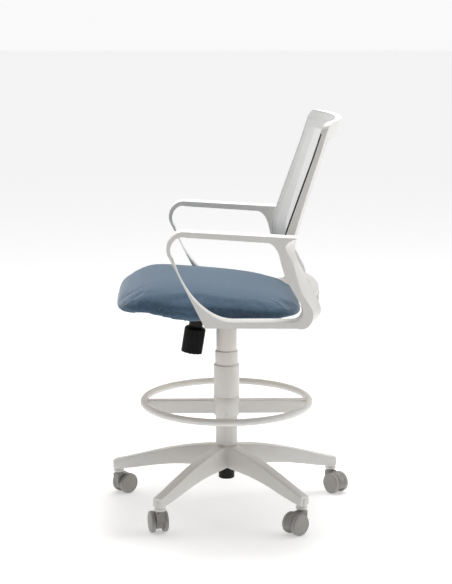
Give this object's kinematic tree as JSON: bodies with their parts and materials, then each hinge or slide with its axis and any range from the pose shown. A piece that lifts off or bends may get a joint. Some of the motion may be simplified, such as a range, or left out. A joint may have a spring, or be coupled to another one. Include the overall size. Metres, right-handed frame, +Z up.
{
  "type": "drafting chair",
  "caption": "Drafting-height swivel armchair: five-star caster base, gas lift with foot ring, tilt mechanism, upholstered seat, loop arms and mesh back.",
  "frame": {"origin": "point on the floor under the column axis, at the middle of the floor rest", "axes": "+Z up along the column, -Y the way the sitter faces, +X to the sitter's left"},
  "size_m": [0.6221, 0.6343, 1.02],
  "materials": {
    "frame_white": "fine satin texture, warm white moulded nylon",
    "seat_fabric": "heathered steel-blue woven upholstery",
    "mesh_fabric": "light grey stretched mesh, partly see-through",
    "caster_grey": "satin warm grey nylon",
    "caster_tread": "soft warm grey polyurethane tread on a satin disc",
    "black_steel": "satin black powder coat",
    "black_plastic": "satin black nylon",
    "black_rubber": "matt black",
    "natural_nylon": "natural nylon",
    "bearing_steel": "ground and oiled",
    "plated_steel": "bright zinc plated",
    "chromed_rod": "hard chromed and polished",
    "plywood": "raw moulded birch ply"
  },
  "bodies": {
    "base": {"star_base": "frame_white", "stand_tube": "black_steel", "guide_bush": "natural_nylon", "thrust_bearing": "bearing_steel", "rubber_bumper": "black_rubber", "lower_sleeve": "frame_white", "lower_cover": "frame_white", "foot_ring": "frame_white", "foot_ring_bridge": "frame_white", "foot_ring_screws": "plated_steel"},
    "piston": {"piston_rod": "chromed_rod", "retaining_clip": "bearing_steel"},
    "lift": {"pressure_tube": "plated_steel", "upper_cover": "frame_white", "tilt_housing": "black_steel", "pivot_axle": "plated_steel", "lever_fulcrum": "plated_steel", "tension_spring": "bearing_steel"},
    "middle_cover": {"middle_cover": "frame_white"},
    "release_pin": {"release_pin": "plated_steel"},
    "lever": {"lever_rod": "black_steel", "lever_paddle": "black_plastic"},
    "seat": {"seat_plate": "black_steel", "pivot_bushes": "natural_nylon", "seat_plate_bolts": "plated_steel", "seat_board": "plywood", "seat_cushion": "seat_fabric", "left_arm": "frame_white", "right_arm": "frame_white", "arm_seat_bolts": "plated_steel", "arm_back_bolts": "plated_steel", "back_frame": "frame_white", "back_mesh": "mesh_fabric", "mesh_edge_strip": "black_rubber"},
    "tension_bolt": {"tension_bolt": "plated_steel"},
    "tension_knob": {"tension_knob": "black_plastic"},
    "caster_1": {"caster_1_hood": "caster_grey", "caster_1_stem_and_axle": "plated_steel"},
    "caster_1_wheel_left": {"caster_1_wheel_left": "caster_tread"},
    "caster_1_wheel_right": {"caster_1_wheel_right": "caster_tread"},
    "caster_2": {"caster_2_hood": "caster_grey", "caster_2_stem_and_axle": "plated_steel"},
    "caster_2_wheel_left": {"caster_2_wheel_left": "caster_tread"},
    "caster_2_wheel_right": {"caster_2_wheel_right": "caster_tread"},
    "caster_3": {"caster_3_hood": "caster_grey", "caster_3_stem_and_axle": "plated_steel"},
    "caster_3_wheel_left": {"caster_3_wheel_left": "caster_tread"},
    "caster_3_wheel_right": {"caster_3_wheel_right": "caster_tread"},
    "caster_4": {"caster_4_hood": "caster_grey", "caster_4_stem_and_axle": "plated_steel"},
    "caster_4_wheel_left": {"caster_4_wheel_left": "caster_tread"},
    "caster_4_wheel_right": {"caster_4_wheel_right": "caster_tread"},
    "caster_5": {"caster_5_hood": "caster_grey", "caster_5_stem_and_axle": "plated_steel"},
    "caster_5_wheel_left": {"caster_5_wheel_left": "caster_tread"},
    "caster_5_wheel_right": {"caster_5_wheel_right": "caster_tread"}
  },
  "joints": [
    {"name": "seat_swivel", "type": "hinge", "parent": "base", "child": "piston", "pos_m": [0, 0, 0.3], "axis": [0, 0, 1], "continuous": true},
    {"name": "seat_lift", "type": "slide", "parent": "piston", "child": "lift", "axis": [0, 0, 1], "range_m": [-0.06, 0.14]},
    {"name": "middle_cover_slide", "type": "slide", "parent": "base", "child": "middle_cover", "axis": [0, 0, 1], "range_m": [-0.03, 0.07]},
    {"name": "lever_lift", "type": "hinge", "parent": "lift", "child": "lever", "pos_m": [-0.034, 0, 0.5208], "axis": [0, 1, 0], "range_deg": [0, 6], "stiffness_Nm_per_rad": 6, "springref_deg": -6.88},
    {"name": "release_pin_press", "type": "slide", "parent": "lift", "child": "release_pin", "axis": [0, 0, -1], "range_m": [0, 0.0038]},
    {"name": "seat_tilt", "type": "hinge", "parent": "lift", "child": "seat", "pos_m": [0, -0.03, 0.512], "axis": [-1, 0, 0], "range_deg": [0, 12], "stiffness_Nm_per_rad": 110, "springref_deg": -25.78},
    {"name": "tension_bolt_pull", "type": "slide", "parent": "lift", "child": "tension_bolt", "axis": [0, 0.1564, 0.9877], "range_m": [0, 0.0093], "deforming": ["tension_spring"]},
    {"name": "tension_knob_turn", "type": "hinge", "parent": "tension_bolt", "child": "tension_knob", "pos_m": [0, -0.0764, 0.5005], "axis": [0, 0.1564, 0.9877], "range_deg": [-1080, 1080]},
    {"name": "caster_1_swivel", "type": "hinge", "parent": "base", "child": "caster_1", "pos_m": [0.23896, 0.18138, 0.06], "axis": [0, 0, 1], "continuous": true},
    {"name": "caster_1_left_roll", "type": "hinge", "parent": "caster_1", "child": "caster_1_wheel_left", "pos_m": [0.25274, 0.16553, 0.0275], "axis": [-0.7547, -0.6561, 0], "continuous": true},
    {"name": "caster_1_right_roll", "type": "hinge", "parent": "caster_1", "child": "caster_1_wheel_right", "pos_m": [0.25274, 0.16553, 0.0275], "axis": [-0.7547, -0.6561, 0], "continuous": true},
    {"name": "caster_2_swivel", "type": "hinge", "parent": "base", "child": "caster_2", "pos_m": [-0.09866, 0.28331, 0.06], "axis": [0, 0, 1], "continuous": true},
    {"name": "caster_2_left_roll", "type": "hinge", "parent": "caster_2", "child": "caster_2_wheel_left", "pos_m": [-0.08211, 0.29624, 0.0275], "axis": [0.6157, -0.788, 0], "continuous": true},
    {"name": "caster_2_right_roll", "type": "hinge", "parent": "caster_2", "child": "caster_2_wheel_right", "pos_m": [-0.08211, 0.29624, 0.0275], "axis": [0.6157, -0.788, 0], "continuous": true},
    {"name": "caster_3_swivel", "type": "hinge", "parent": "base", "child": "caster_3", "pos_m": [-0.29993, -0.00628, 0.06], "axis": [0, 0, 1], "continuous": true},
    {"name": "caster_3_left_roll", "type": "hinge", "parent": "caster_3", "child": "caster_3_wheel_left", "pos_m": [-0.29275, 0.01345, 0.0275], "axis": [0.9397, -0.342, 0], "continuous": true},
    {"name": "caster_3_right_roll", "type": "hinge", "parent": "caster_3", "child": "caster_3_wheel_right", "pos_m": [-0.29275, 0.01345, 0.0275], "axis": [0.9397, -0.342, 0], "continuous": true},
    {"name": "caster_4_swivel", "type": "hinge", "parent": "base", "child": "caster_4", "pos_m": [-0.08671, -0.2872, 0.06], "axis": [0, 0, 1], "continuous": true},
    {"name": "caster_4_left_roll", "type": "hinge", "parent": "caster_4", "child": "caster_4_wheel_left", "pos_m": [-0.10049, -0.27135, 0.0275], "axis": [0.7547, 0.6561, 0], "continuous": true},
    {"name": "caster_4_right_roll", "type": "hinge", "parent": "caster_4", "child": "caster_4_wheel_right", "pos_m": [-0.10049, -0.27135, 0.0275], "axis": [0.7547, 0.6561, 0], "continuous": true},
    {"name": "caster_5_swivel", "type": "hinge", "parent": "base", "child": "caster_5", "pos_m": [0.24635, -0.17121, 0.06], "axis": [0, 0, 1], "continuous": true},
    {"name": "caster_5_left_roll", "type": "hinge", "parent": "caster_5", "child": "caster_5_wheel_left", "pos_m": [0.22597, -0.17629, 0.0275], "axis": [-0.2419, 0.9703, 0], "continuous": true},
    {"name": "caster_5_right_roll", "type": "hinge", "parent": "caster_5", "child": "caster_5_wheel_right", "pos_m": [0.22597, -0.17629, 0.0275], "axis": [-0.2419, 0.9703, 0], "continuous": true}
  ],
  "couplings": [
    {"joint": "middle_cover_slide", "follows": "seat_lift", "ratio": 0.5},
    {"joint": "release_pin_press", "follows": "lever_lift", "m_per_rad": 0.036},
    {"joint": "tension_bolt_pull", "follows": "seat_tilt", "m_per_rad": 0.044}
  ]
}
